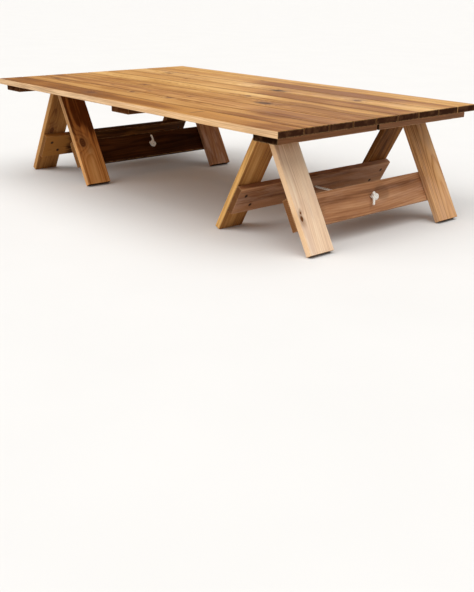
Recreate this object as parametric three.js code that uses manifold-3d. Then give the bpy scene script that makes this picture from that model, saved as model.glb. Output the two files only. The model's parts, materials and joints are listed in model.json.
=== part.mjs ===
// Folding picnic table: a loose boarded top on two folding A-shaped trestles tied open by rope.
// Millimetres. X runs along the table, Y across it and Z up. The origin is on the ground, in the
// middle of the whole table's box. "near" is the -Y side and "far" the +Y side; a trestle's "outer"
// frame leans towards its own end of the table and its "inner" frame towards the middle.
import * as THREE from 'three';
import { mergeVertices } from 'three/addons/utils/BufferGeometryUtils.js';
import Module from 'manifold-3d';

const wasm = await Module();
wasm.setup();

// Boards
const BOARD_WIDTH = 90;
const BOARD_THICKNESS = 19;
const BOARD_EASE = 1.2; // chamfer along a board's long edges
const CLEARANCE = 0.3; // between touching pieces

// Top
const PLANK_COUNT = 9;
const PLANK_LENGTH = 1425;
const PLANK_GAP = 2;
const CLEAT_NEAR_INSET = 15; // from the top's near edge to a cleat's near end
const CLEAT_FAR_INSET = 32;
const RIGHT_CLEAT_INSET = 15; // from the top's right end to the right cleat
const LEFT_CLEAT_INSET = 27;
const MIDDLE_CLEAT_X = 18; // from the middle of the top
const CLEAT_BREAK_WIDTH = 9; // gap between the right cleat's two lengths
const CLEAT_BREAK_Y = -18;
const CLEAT_WEB = 1.5; // thin web over the gap, which keeps the two lengths one body

// Trestles
const SPLAY = THREE.MathUtils.degToRad(29); // each frame from the vertical
const RIGHT_TRESTLE_X = 545; // from the middle of the top
const LEFT_TRESTLE_X = -516;
const TRESTLE_WIDTH = 644;
const TRESTLE_OFFSET_Y = 17;
const LEG_LENGTH = 355;
const LEG_BELOW_AXIS = 5; // from the hinge axis down to a leg's top end
const LEG_OFF_AXIS = 2.5; // from the hinge axis out to a leg's inner face
const RAIL_BELOW_TOP = 191; // from a leg's top end down to the rail

// Hinges
const LEAF_LENGTH = 60;
const LEAF_REACH = 28;
const LEAF_THICKNESS = 2;
const BARREL_RADIUS = 4;
const PIN_RADIUS = 2;
const PIN_BORE_RADIUS = 2.4;
const PIN_HEAD_RADIUS = 3;
const PIN_HEAD_LENGTH = 1;
const PIN_HEAD_TAPER = 0.7; // the head's face over its widest place
const KNUCKLES = 3;
const HINGE_SIDES = 16;
const BARREL_ROOM = 0.4; // beyond the clearance, between a barrel and the other leaf's plate
const WELD = 0.5; // overlap that joins two shapes into one solid

// Rope
const ROPE_DIAMETER = 7;
const ROPE_SIDES = 8;
const ROPE_STEPS = 6;
const ROPE_HOLE_RADIUS = 4.3;
const ROPE_HOLE_SIDES = 16;
const KNOT_RADIUS = 12;
const KNOT_LENGTH = 21;
const KNOT_FULLNESS = 0.7; // under 1 is blunter than a ball
const KNOT_STEPS = 6;
const KNOT_SIDES = 12;
const TAIL_LENGTH = 24;

// Screws
const SCREW_LENGTH = 33;
const SCREW_RADIUS = 2;
const SCREW_HEAD_RADIUS = 4;
const SCREW_HEAD_DEPTH = 2.6;
const SCREW_HEAD_RIM = 0.3;
const SCREW_TIP = 4;
const SCREW_HOLE_ROOM = 0.4; // how much larger a screw's hole is all round
const SCREW_SIDES = 12;
// Each rail end has two screws: across from its end and down from its top edge.
const SCREWS = [
  { name: 'upper', across: 30, down: 28 },
  { name: 'lower', across: 61, down: 65 },
];

const CUT_THROUGH = 10; // how far a cutter stands out of what it cuts

// Sizes that follow
const PLANK_PITCH = BOARD_WIDTH + PLANK_GAP;
const TOP_WIDTH = PLANK_COUNT * PLANK_PITCH - PLANK_GAP;
const LEG_REACH = LEG_BELOW_AXIS + LEG_LENGTH;
const AXIS_HEIGHT = LEG_REACH * Math.cos(SPLAY) - LEG_OFF_AXIS * Math.sin(SPLAY);
const LEG_OUTER_FACE = LEG_OFF_AXIS + BOARD_THICKNESS;
const TOP_UNDERSIDE =
  AXIS_HEIGHT - LEG_BELOW_AXIS * Math.cos(SPLAY) + LEG_OUTER_FACE * Math.sin(SPLAY) + CLEARANCE;
const RAIL_OUTER_FACE = LEG_OFF_AXIS - CLEARANCE;
const RAIL_INNER_FACE = RAIL_OUTER_FACE - BOARD_THICKNESS;
const RAIL_TOP = LEG_BELOW_AXIS + RAIL_BELOW_TOP;
const RAIL_CENTRE = RAIL_TOP + BOARD_WIDTH / 2;
const LEG_CENTRE_Y = TRESTLE_WIDTH / 2 - BOARD_WIDTH / 2;
const ROPE_RADIUS = ROPE_DIAMETER / 2;
const FOOT_REACH = LEG_REACH * Math.sin(SPLAY) + LEG_OUTER_FACE * Math.cos(SPLAY);
// The right trestle's feet stand out past the end of the top, and the box is centred on them.
const TOP_X = (PLANK_LENGTH / 2 - (RIGHT_TRESTLE_X + FOOT_REACH)) / 2;

const material = (color, roughness, metalness) =>
  new THREE.MeshStandardMaterial({ color, roughness, metalness });
const plankWood = material(0xd9a765, 0.5, 0);
const cleatWood = material(0xa9784a, 0.6, 0);
const legWood = material(0xbf8d57, 0.55, 0);
const railWood = material(0xb07f4b, 0.55, 0);
const hingeSteel = material(0xa9abad, 0.4, 0.9);
const screwSteel = material(0x4a443c, 0.45, 0.8);
const ropeFibre = material(0xe9e3d4, 0.9, 0);

const table = new THREE.Group();
table.position.x = TOP_X;

function addMesh(parent, name, geometry, piece, position) {
  const mesh = new THREE.Mesh(geometry, piece);
  mesh.name = name;
  mesh.position.copy(position);
  parent.add(mesh);
  return mesh;
}

// ---- Solids -------------------------------------------------------------------------------------

function toSolid(geometry, offset = new THREE.Vector3()) {
  const bare = geometry.clone().translate(offset.x, offset.y, offset.z);
  bare.deleteAttribute('normal');
  bare.deleteAttribute('uv');
  const merged = mergeVertices(bare, 1e-4);
  const mesh = new wasm.Mesh({
    numProp: 3,
    vertProperties: new Float32Array(merged.attributes.position.array),
    triVerts: new Uint32Array(merged.index.array),
  });
  return new wasm.Manifold(mesh);
}

function toGeometry(solid) {
  const mesh = solid.getMesh();
  const geometry = new THREE.BufferGeometry();
  geometry.setAttribute('position', new THREE.BufferAttribute(mesh.vertProperties, 3));
  geometry.setIndex(new THREE.BufferAttribute(mesh.triVerts, 1));
  geometry.computeVertexNormals();
  return geometry;
}

function cut(geometry, cutters) {
  const solid = cutters.reduce(
    (left, cutter) => left.subtract(toSolid(cutter.geometry, cutter.at)),
    toSolid(geometry),
  );
  return toGeometry(solid);
}

// A board centred on the origin with eased long edges, its length along X, width along Y.
function board(length, width, thickness, ease = BOARD_EASE) {
  const w = width / 2;
  const t = thickness / 2;
  const section = new THREE.Shape();
  section.moveTo(-w + ease, -t);
  section.lineTo(w - ease, -t);
  section.lineTo(w, -t + ease);
  section.lineTo(w, t - ease);
  section.lineTo(w - ease, t);
  section.lineTo(-w + ease, t);
  section.lineTo(-w, t - ease);
  section.lineTo(-w, -t + ease);
  const geometry = new THREE.ExtrudeGeometry(section, { depth: length, bevelEnabled: false });
  geometry.translate(0, 0, -length / 2);
  geometry.rotateX(Math.PI / 2);
  geometry.rotateZ(Math.PI / 2);
  return geometry;
}

// A turned solid with its axis along X: points are [distance along X, radius].
function turned(points, sides) {
  const profile = points.map(([along, radius]) => new THREE.Vector2(radius, along));
  const geometry = new THREE.LatheGeometry(profile, sides);
  geometry.rotateZ(-Math.PI / 2);
  return geometry;
}

// ---- Top ----------------------------------------------------------------------------------------

function buildTop() {
  const top = new THREE.Group();
  top.position.z = TOP_UNDERSIDE;
  table.add(top);

  const plank = board(PLANK_LENGTH, BOARD_WIDTH, BOARD_THICKNESS);
  for (let i = 0; i < PLANK_COUNT; i += 1) {
    const y = (i - (PLANK_COUNT - 1) / 2) * PLANK_PITCH;
    addMesh(top, `plank_${i + 1}`, plank, plankWood, new THREE.Vector3(0, y, BOARD_THICKNESS / 2));
  }

  const cleatLength = TOP_WIDTH - CLEAT_NEAR_INSET - CLEAT_FAR_INSET;
  const cleatY = (CLEAT_NEAR_INSET - CLEAT_FAR_INSET) / 2;
  const whole = board(cleatLength, BOARD_WIDTH, BOARD_THICKNESS);
  whole.rotateZ(Math.PI / 2);
  const slot = {
    geometry: new THREE.BoxGeometry(BOARD_WIDTH + CUT_THROUGH, CLEAT_BREAK_WIDTH, BOARD_THICKNESS),
    at: new THREE.Vector3(0, CLEAT_BREAK_Y - cleatY, -CLEAT_WEB),
  };
  const rightX = PLANK_LENGTH / 2 - RIGHT_CLEAT_INSET - BOARD_WIDTH / 2;
  const leftX = -PLANK_LENGTH / 2 + LEFT_CLEAT_INSET + BOARD_WIDTH / 2;
  const z = -BOARD_THICKNESS / 2;
  const broken = cut(whole, [slot]);
  addMesh(top, 'cleat_right', broken, cleatWood, new THREE.Vector3(rightX, cleatY, z));
  addMesh(top, 'cleat_middle', whole, cleatWood, new THREE.Vector3(MIDDLE_CLEAT_X, cleatY, z));
  addMesh(top, 'cleat_left', whole, cleatWood, new THREE.Vector3(leftX, cleatY, z));
}

// ---- Trestle frames -----------------------------------------------------------------------------
// A frame is built hanging straight down from the hinge axis and then turned by the splay.
// out(n) is a place n outwards from the axis: +X on a frame that leans to +X, else -X.

// A countersunk screw along +X, its head's face at x = 0, made fatter by "extra" for its hole.
function screwShape(extra) {
  const shank = SCREW_RADIUS + extra;
  return turned(
    [
      [-extra, 0],
      [-extra, SCREW_HEAD_RADIUS + extra],
      [SCREW_HEAD_RIM, SCREW_HEAD_RADIUS + extra],
      [SCREW_HEAD_DEPTH, shank],
      [SCREW_LENGTH - SCREW_TIP, shank],
      [SCREW_LENGTH + extra, 0],
    ],
    SCREW_SIDES,
  );
}

function screwPlaces() {
  const places = [];
  for (const end of [-1, 1]) {
    for (const screw of SCREWS) {
      places.push({
        name: `${end < 0 ? 'near' : 'far'}_${screw.name}`,
        y: end * (TRESTLE_WIDTH / 2 - screw.across),
        z: -(RAIL_TOP + screw.down),
      });
    }
  }
  return places;
}

function addFrame(trestle, trestleName, frameName, lean) {
  const frame = new THREE.Group();
  frame.rotation.y = -lean * SPLAY;
  trestle.add(frame);
  const label = `${trestleName}_${frameName}`;
  const out = (n) => lean * n;
  const screwFace = out(RAIL_INNER_FACE);
  const hole = screwShape(SCREW_HOLE_ROOM);
  const screw = screwShape(0);
  if (lean < 0) {
    hole.rotateZ(Math.PI);
    screw.rotateZ(Math.PI);
  }
  const places = screwPlaces();
  const holesIn = (centre, reach) =>
    places
      .filter((place) => Math.abs(place.y - centre.y) < reach)
      .map((place) => ({
        geometry: hole,
        at: new THREE.Vector3(screwFace, place.y, place.z).sub(centre),
      }));

  const leg = board(LEG_LENGTH, BOARD_WIDTH, BOARD_THICKNESS);
  leg.rotateY(Math.PI / 2);
  for (const end of [-1, 1]) {
    const centre = new THREE.Vector3(
      out(LEG_OFF_AXIS + BOARD_THICKNESS / 2),
      end * LEG_CENTRE_Y,
      -(LEG_BELOW_AXIS + LEG_LENGTH / 2),
    );
    const drilled = cut(leg, holesIn(centre, BOARD_WIDTH));
    addMesh(frame, `${label}_leg_${end < 0 ? 'near' : 'far'}`, drilled, legWood, centre);
  }

  const rail = board(TRESTLE_WIDTH, BOARD_WIDTH, BOARD_THICKNESS);
  rail.rotateZ(Math.PI / 2);
  rail.rotateY(Math.PI / 2);
  const railCentre = new THREE.Vector3(out(RAIL_OUTER_FACE - BOARD_THICKNESS / 2), 0, -RAIL_CENTRE);
  const ropeHole = new THREE.CylinderGeometry(
    ROPE_HOLE_RADIUS,
    ROPE_HOLE_RADIUS,
    BOARD_THICKNESS + CUT_THROUGH,
    ROPE_HOLE_SIDES,
  );
  ropeHole.rotateZ(Math.PI / 2);
  const railHoles = holesIn(railCentre, TRESTLE_WIDTH);
  railHoles.push({ geometry: ropeHole, at: new THREE.Vector3() });
  addMesh(frame, `${label}_rail`, cut(rail, railHoles), railWood, railCentre);

  for (const place of places) {
    const at = new THREE.Vector3(screwFace, place.y, place.z);
    addMesh(frame, `${label}_screw_${place.name}`, screw, screwSteel, at);
  }
  return frame;
}

// ---- Hinges -------------------------------------------------------------------------------------

// One leaf: a plate on the leg's inner face, and every other knuckle rolled round the axis.
function leafShape(lean, firstKnuckle) {
  const plateOuter = LEG_OFF_AXIS - CLEARANCE;
  const plateX = lean * (plateOuter - LEAF_THICKNESS / 2);
  const plateTop = BARREL_RADIUS + CLEARANCE + BARREL_ROOM;
  const plate = new THREE.BoxGeometry(LEAF_THICKNESS, LEAF_LENGTH, LEAF_REACH - plateTop);
  let leaf = toSolid(plate, new THREE.Vector3(plateX, 0, -(LEAF_REACH + plateTop) / 2));
  const knuckle = LEAF_LENGTH / KNUCKLES;
  for (let i = firstKnuckle; i < KNUCKLES; i += 2) {
    const y = -LEAF_LENGTH / 2 + (i + 0.5) * knuckle;
    const length = knuckle - CLEARANCE;
    const barrel = new THREE.CylinderGeometry(BARREL_RADIUS, BARREL_RADIUS, length, HINGE_SIDES);
    const tongue = new THREE.BoxGeometry(LEAF_THICKNESS, length, plateTop + WELD);
    leaf = leaf.add(toSolid(barrel, new THREE.Vector3(0, y, 0)));
    leaf = leaf.add(toSolid(tongue, new THREE.Vector3(plateX, y, -(plateTop + WELD) / 2)));
  }
  const boreLength = LEAF_LENGTH + CUT_THROUGH;
  const bore = new THREE.CylinderGeometry(PIN_BORE_RADIUS, PIN_BORE_RADIUS, boreLength, HINGE_SIDES);
  return toGeometry(leaf.subtract(toSolid(bore)));
}

function pinShape() {
  const end = LEAF_LENGTH / 2 + CLEARANCE;
  const pin = turned(
    [
      [-end - PIN_HEAD_LENGTH, 0],
      [-end - PIN_HEAD_LENGTH, PIN_HEAD_RADIUS * PIN_HEAD_TAPER],
      [-end, PIN_HEAD_RADIUS],
      [-end, PIN_RADIUS],
      [end, PIN_RADIUS],
      [end, PIN_HEAD_RADIUS],
      [end + PIN_HEAD_LENGTH, PIN_HEAD_RADIUS * PIN_HEAD_TAPER],
      [end + PIN_HEAD_LENGTH, 0],
    ],
    HINGE_SIDES,
  );
  pin.rotateZ(Math.PI / 2);
  return pin;
}

// ---- Rope ---------------------------------------------------------------------------------------

// The rope end in a rail: the stretch in the hole, the stopper knot on the outer face and its tail.
function knotShape(lean, tailUp) {
  const start = BOARD_THICKNESS + CLEARANCE;
  const points = [
    [0, 0],
    [0, ROPE_RADIUS],
    [start, ROPE_RADIUS],
  ];
  for (let i = 1; i < KNOT_STEPS; i += 1) {
    const angle = (Math.PI * i) / KNOT_STEPS;
    const along = start + (KNOT_LENGTH * (1 - Math.cos(angle))) / 2;
    points.push([along, Math.max(ROPE_RADIUS, KNOT_RADIUS * Math.sin(angle) ** KNOT_FULLNESS)]);
  }
  points.push([start + KNOT_LENGTH, 0]);
  const lump = turned(points, KNOT_SIDES);
  if (lean < 0) lump.rotateZ(Math.PI);
  const tail = new THREE.CylinderGeometry(ROPE_RADIUS, ROPE_RADIUS, TAIL_LENGTH, ROPE_SIDES);
  tail.rotateX(Math.PI / 2);
  const tailAt = new THREE.Vector3(
    lean * (start + KNOT_LENGTH / 2),
    0,
    (tailUp ? 1 : -1) * (TAIL_LENGTH / 2),
  );
  return toGeometry(toSolid(lump).add(toSolid(tail, tailAt)));
}

// Half of the taut stretch: from a rail's inner face to the middle of the trestle, along -X.
function strandShape(length) {
  const section = new THREE.Shape();
  section.absarc(0, 0, ROPE_RADIUS, 0, 2 * Math.PI);
  const route = new THREE.LineCurve3(new THREE.Vector3(0, 0, 0), new THREE.Vector3(-length, 0, 0));
  return new THREE.ExtrudeGeometry(section, {
    curveSegments: ROPE_SIDES,
    steps: ROPE_STEPS,
    extrudePath: route,
  });
}

// ---- Trestles -----------------------------------------------------------------------------------

function buildTrestle({ name, x }) {
  const trestle = new THREE.Group();
  trestle.position.set(x, TRESTLE_OFFSET_Y, AXIS_HEIGHT);
  table.add(trestle);
  const end = Math.sign(x);
  const frames = [
    { name: 'outer', lean: end },
    { name: 'inner', lean: -end },
  ];

  for (const { name: frameName, lean } of frames) {
    const frame = addFrame(trestle, name, frameName, lean);
    for (const side of [-1, 1]) {
      const label = `${name}_hinge_${side < 0 ? 'near' : 'far'}_leaf_${frameName}`;
      const leaf = leafShape(lean, frameName === 'outer' ? 0 : 1);
      addMesh(frame, label, leaf, hingeSteel, new THREE.Vector3(0, side * LEG_CENTRE_Y, 0));
    }
    const mouth = new THREE.Vector3(lean * RAIL_INNER_FACE, 0, -RAIL_CENTRE);
    const tailUp = name === 'left' && frameName === 'inner';
    addMesh(frame, `${name}_rope_knot_${frameName}`, knotShape(lean, tailUp), ropeFibre, mouth);

    const strand = new THREE.Vector3(
      lean * (RAIL_CENTRE * Math.sin(SPLAY) + RAIL_INNER_FACE * Math.cos(SPLAY)),
      0,
      -RAIL_CENTRE * Math.cos(SPLAY) + RAIL_INNER_FACE * Math.sin(SPLAY),
    );
    const startOff = ROPE_RADIUS * Math.tan(SPLAY) + CLEARANCE;
    const length = Math.abs(strand.x) - startOff - CLEARANCE / 2;
    strand.x -= lean * startOff;
    const rope = strandShape(length);
    if (lean < 0) rope.rotateZ(Math.PI);
    addMesh(trestle, `${name}_rope_strand_${frameName}`, rope, ropeFibre, strand);
  }

  for (const side of [-1, 1]) {
    const label = `${name}_hinge_${side < 0 ? 'near' : 'far'}_pin`;
    const at = new THREE.Vector3(0, side * LEG_CENTRE_Y, 0);
    addMesh(trestle, label, pinShape(), hingeSteel, at);
  }
}

buildTop();
buildTrestle({ name: 'right', x: RIGHT_TRESTLE_X });
buildTrestle({ name: 'left', x: LEFT_TRESTLE_X });

export default table;
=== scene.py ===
import json
import math
from dataclasses import dataclass

import bmesh
import bpy
import numpy as np
from mathutils import Matrix, Vector, noise


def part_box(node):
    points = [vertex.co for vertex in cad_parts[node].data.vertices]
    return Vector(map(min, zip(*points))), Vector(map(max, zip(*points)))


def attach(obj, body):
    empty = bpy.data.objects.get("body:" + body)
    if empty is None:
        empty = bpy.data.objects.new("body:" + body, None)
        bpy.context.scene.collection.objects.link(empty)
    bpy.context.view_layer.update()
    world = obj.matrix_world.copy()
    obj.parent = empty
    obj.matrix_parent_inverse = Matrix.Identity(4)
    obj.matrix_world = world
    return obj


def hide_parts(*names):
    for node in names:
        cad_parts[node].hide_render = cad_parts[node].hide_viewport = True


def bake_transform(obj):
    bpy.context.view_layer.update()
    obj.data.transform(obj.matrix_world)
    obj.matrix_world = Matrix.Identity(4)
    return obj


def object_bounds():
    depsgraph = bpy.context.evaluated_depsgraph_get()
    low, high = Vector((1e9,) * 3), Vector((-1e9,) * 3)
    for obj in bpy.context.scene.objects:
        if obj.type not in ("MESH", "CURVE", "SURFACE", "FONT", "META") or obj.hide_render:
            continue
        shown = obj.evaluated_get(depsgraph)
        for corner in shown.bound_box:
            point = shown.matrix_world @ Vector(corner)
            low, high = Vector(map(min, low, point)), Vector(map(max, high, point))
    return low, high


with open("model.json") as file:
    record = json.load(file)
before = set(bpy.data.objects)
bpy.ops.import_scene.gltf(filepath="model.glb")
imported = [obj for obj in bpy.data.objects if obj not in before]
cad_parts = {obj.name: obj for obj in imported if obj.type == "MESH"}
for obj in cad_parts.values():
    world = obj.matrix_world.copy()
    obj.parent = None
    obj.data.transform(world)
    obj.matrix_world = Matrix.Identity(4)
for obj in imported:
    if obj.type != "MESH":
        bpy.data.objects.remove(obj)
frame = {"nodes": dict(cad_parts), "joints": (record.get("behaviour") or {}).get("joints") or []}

CAD_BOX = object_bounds()
MM = 0.001
SPLAY = math.radians(29)
TRESTLES = ("right", "left")
FRAMES = ("outer", "inner")
SIDES = ("near", "far")
X_AXIS = Vector((1, 0, 0))
Y_AXIS = Vector((0, 1, 0))
Z_AXIS = Vector((0, 0, 1))
SQUARE = ((-1, -1), (1, -1), (1, 1), (-1, 1))


# ---- Camera ----

CAMERA_PLACE = Vector((2.2246, -1.8984, 0.6897))
CAMERA_AZIMUTH = math.radians(48.262)
CAMERA_TILT = math.radians(20.006)
CAMERA_ROLL = math.radians(0.791)
CAMERA_LENS = 53.35


def add_camera():
    ahead = Vector((-math.sin(CAMERA_AZIMUTH), math.cos(CAMERA_AZIMUTH), 0)) * math.cos(CAMERA_TILT)
    ahead.z = -math.sin(CAMERA_TILT)
    level = Vector((math.cos(CAMERA_AZIMUTH), math.sin(CAMERA_AZIMUTH), 0))
    right = Matrix.Rotation(-CAMERA_ROLL, 3, ahead) @ level
    data = bpy.data.cameras.new("camera")
    data.lens = CAMERA_LENS
    data.clip_end = 200
    camera = bpy.data.objects.new("camera", data)
    turn = Matrix((right, right.cross(ahead), -ahead)).transposed()
    camera.matrix_world = Matrix.Translation(CAMERA_PLACE) @ turn.to_4x4()
    bpy.context.scene.collection.objects.link(camera)
    bpy.context.scene.camera = camera


add_camera()


# ---- Places measured from the CAD nodes ----

def joint(name):
    return next(j for j in frame["joints"] if j["name"] == name)


def node_points(node):
    return np.array([v.co for v in frame["nodes"][node].data.vertices])


def measured(points, along, out):
    """The matrix and size of the box round the points whose X is along and whose Z is out."""
    axes = Matrix((along, out.cross(along), out))
    local = points @ np.array(axes).T
    low, high = Vector(local.min(0)), Vector(local.max(0))
    turn = axes.transposed()
    return Matrix.Translation(turn @ ((low + high) / 2)) @ turn.to_4x4(), high - low


class Lean:
    """One frame of a trestle: its ridge point, and its directions down the legs and outwards."""

    def __init__(self, trestle, name):
        fold = joint(f"{trestle}_{name}_fold")
        drop = joint(f"{trestle}_{name}_rope_drop")
        self.label = f"{trestle}_{name}"
        self.trestle = trestle
        self.name = name
        self.body = f"{self.label}_frame"
        self.rope_body = f"{self.label}_rope"
        self.ridge = Vector(fold["pos_m"])
        self.mouth = Vector(drop["pos_m"])
        self.sign = math.copysign(1, self.mouth.x - self.ridge.x)
        self.down = Vector((self.sign * math.sin(SPLAY), 0, -math.cos(SPLAY)))
        self.out = Vector((self.sign * math.cos(SPLAY), 0, math.sin(SPLAY)))


LEANS = [Lean(trestle, name) for trestle in TRESTLES for name in FRAMES]


# ---- Meshes ----

def add_object(name, data, matrix=Matrix.Identity(4)):
    thing = bpy.data.objects.new(name, data)
    thing.matrix_world = matrix
    bpy.context.scene.collection.objects.link(thing)
    return thing


def ring_mesh(name, rings):
    """A closed skin over equal rings of points, given as an array of rings x points x 3."""
    count, around = rings.shape[:2]
    faces = []
    for first in range(0, (count - 1) * around, around):
        second = first + around
        for j in range(around):
            k = (j + 1) % around
            faces.append((first + j, first + k, second + k, second + j))
    faces.append(tuple(reversed(range(around))))
    faces.append(tuple(range((count - 1) * around, count * around)))
    mesh = bpy.data.meshes.new(name)
    mesh.from_pydata(rings.reshape(-1, 3).tolist(), [], faces)
    return mesh


def face_outwards(mesh):
    work = bmesh.new()
    work.from_mesh(mesh)
    bmesh.ops.recalc_face_normals(work, faces=work.faces)
    work.to_mesh(mesh)
    work.free()


def finish_mesh(mesh, sharp_angle=40):
    """Faces out, smooth shading with sharp edges kept."""
    face_outwards(mesh)
    mesh.shade_smooth()
    mesh.set_sharp_from_angle(angle=math.radians(sharp_angle))
    return mesh


def settle(thing):
    """Gives the object its mesh with its modifiers applied, in place of the one it had."""
    bpy.context.view_layer.update()
    done = thing.evaluated_get(bpy.context.evaluated_depsgraph_get())
    mesh = bpy.data.meshes.new_from_object(done)
    mesh.name = thing.name
    thing.modifiers.clear()
    thing.data = mesh


def carve(thing, cutters, operation="DIFFERENCE"):
    """Takes the cutter meshes, in the object's own coordinates, from the object, or adds them."""
    for mesh in cutters:
        cutter = add_object("cutter", mesh, thing.matrix_world)
        change = thing.modifiers.new("carve", "BOOLEAN")
        change.operation = operation
        change.solver = "EXACT"
        change.object = cutter
        settle(thing)
        bpy.data.objects.remove(cutter)


def turned(name, points, sides=32, matrix=Matrix.Identity(4)):
    """A turned mesh round X. The points, (along, radius) in mm, start and end on the axis."""
    angles = np.linspace(0, 2 * math.pi, sides, endpoint=False)
    rings = np.zeros((len(points), sides, 3))
    for i, (along, radius) in enumerate(points):
        rings[i, :, 0] = along
        rings[i, :, 1] = radius * np.cos(angles)
        rings[i, :, 2] = radius * np.sin(angles)
    mesh = ring_mesh(name, rings * MM)
    mesh.transform(matrix)
    face_outwards(mesh)
    return mesh


# ---- Boards ----

ARRIS_RADIUS = 1.7 * MM
ARRIS_STEPS = 4
ARRIS_BORDER = 1.2 * MM  # from an arris to the first points that keep its wear off the faces
FACE_STEP = 6 * MM
END_EASE = 0.7 * MM
END_STEPS = 4
END_BORDER = 4 * MM
CAP_INSET = 3 * MM  # inner ring of a sawn end
STATION = 7 * MM
WAVE = 0.09 * MM
RIPPLE = 0.03 * MM
ARRIS_WEAR = 0.125 * MM
ARRIS_BRUISE = 1.1 * MM
SHARP_BOARD = 50


def board_section(width, thickness, radius):
    """A rounded rectangle's points, its normals, and how much each point belongs to an arris."""
    points, normals, arris = [], [], []
    corners = [(1, -1, -90), (1, 1, 0), (-1, 1, 90), (-1, -1, 180)]

    def corner_point(corner, turned_by):
        side_y, side_z, start = corners[corner % 4]
        angle = math.radians(start + turned_by)
        normal = Vector((math.cos(angle), math.sin(angle)))
        centre = Vector((side_y * (width / 2 - radius), side_z * (thickness / 2 - radius)))
        return centre + radius * normal, normal

    for corner in range(4):
        for step in range(ARRIS_STEPS + 1):
            point, normal = corner_point(corner, 90 * step / ARRIS_STEPS)
            points.append(point)
            normals.append(normal)
            arris.append(1.0)
        first = points[-1]
        last = corner_point(corner + 1, 0)[0]
        span = (last - first).length
        steps = max(4, round(span / FACE_STEP))
        border = ARRIS_BORDER / span
        for fraction in [border, *(i / steps for i in range(1, steps)), 1 - border]:
            points.append(first.lerp(last, fraction))
            normals.append(normals[-1].copy())
            arris.append(0.0)
    return np.array(points), np.array(normals), np.array(arris)


def board_stations(length):
    """Places along a board with how far its section is drawn in there, for eased ends."""
    half = length / 2
    steps = max(8, round(length / STATION))
    middle = np.linspace(-half + END_BORDER, half - END_BORDER, steps)
    angles = np.linspace(0, math.pi / 2, END_STEPS)
    ease = [(END_EASE * (1 - math.cos(a)), END_EASE * (1 - math.sin(a))) for a in angles]
    head = [(-half, CAP_INSET)] + [(-half + along, inset) for along, inset in ease]
    tail = [(half - along, inset) for along, inset in reversed(ease)] + [(half, CAP_INSET)]
    return head + [(x, 0.0) for x in middle] + tail


def board_dip(place, offset, on_arris):
    """How far a point of a board's skin lies under its nominal place: waves, and worn arrises."""
    dip = WAVE * (1 + noise.noise(place * 9 + offset))
    dip += RIPPLE * (1 + noise.noise(place * 60 + offset))
    if on_arris:
        stretched = Vector((place.x * 28, place.y * 9, place.z * 30))
        bruise = max(0.0, noise.noise(stretched + offset) - 0.25)
        dip += ARRIS_WEAR + ARRIS_BRUISE * bruise
    return dip


def board_mesh(name, size, seed):
    """A planed board, a little uneven, with worn arrises, always inside its nominal size."""
    length, width, thickness = size
    section, normals, arris = board_section(width, thickness, ARRIS_RADIUS)
    stations = board_stations(length)
    rings = np.zeros((len(stations), len(section), 3))
    marks = np.zeros((len(stations), len(section)))
    offset = Vector((seed * 3.7, seed * 1.3, seed * 7.1))
    for i, (x, inset) in enumerate(stations):
        shrink = Vector((1 - 2 * inset / width, 1 - 2 * inset / thickness))
        for j, (point, normal) in enumerate(zip(section, normals)):
            dip = board_dip(Vector((x, *point)), offset, arris[j])
            y = point[0] * shrink.x - normal[0] * dip
            z = point[1] * shrink.y - normal[1] * dip
            rings[i, j] = (x, y, z)
        marks[i] = arris if inset == 0 else float(inset <= END_EASE)
    mesh = ring_mesh(name, rings)
    attribute = mesh.attributes.new("arris", "FLOAT", "POINT")
    attribute.data.foreach_set("value", marks.ravel().astype(np.float32))
    return finish_mesh(mesh, SHARP_BOARD)


# ---- Shader helper ----

def rgb(red, green, blue):
    """A display colour from 0 to 255 as a linear shader colour."""
    def linear(value):
        value /= 255
        return value / 12.92 if value <= 0.04045 else ((value + 0.055) / 1.055) ** 2.4
    return (linear(red), linear(green), linear(blue), 1.0)


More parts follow.
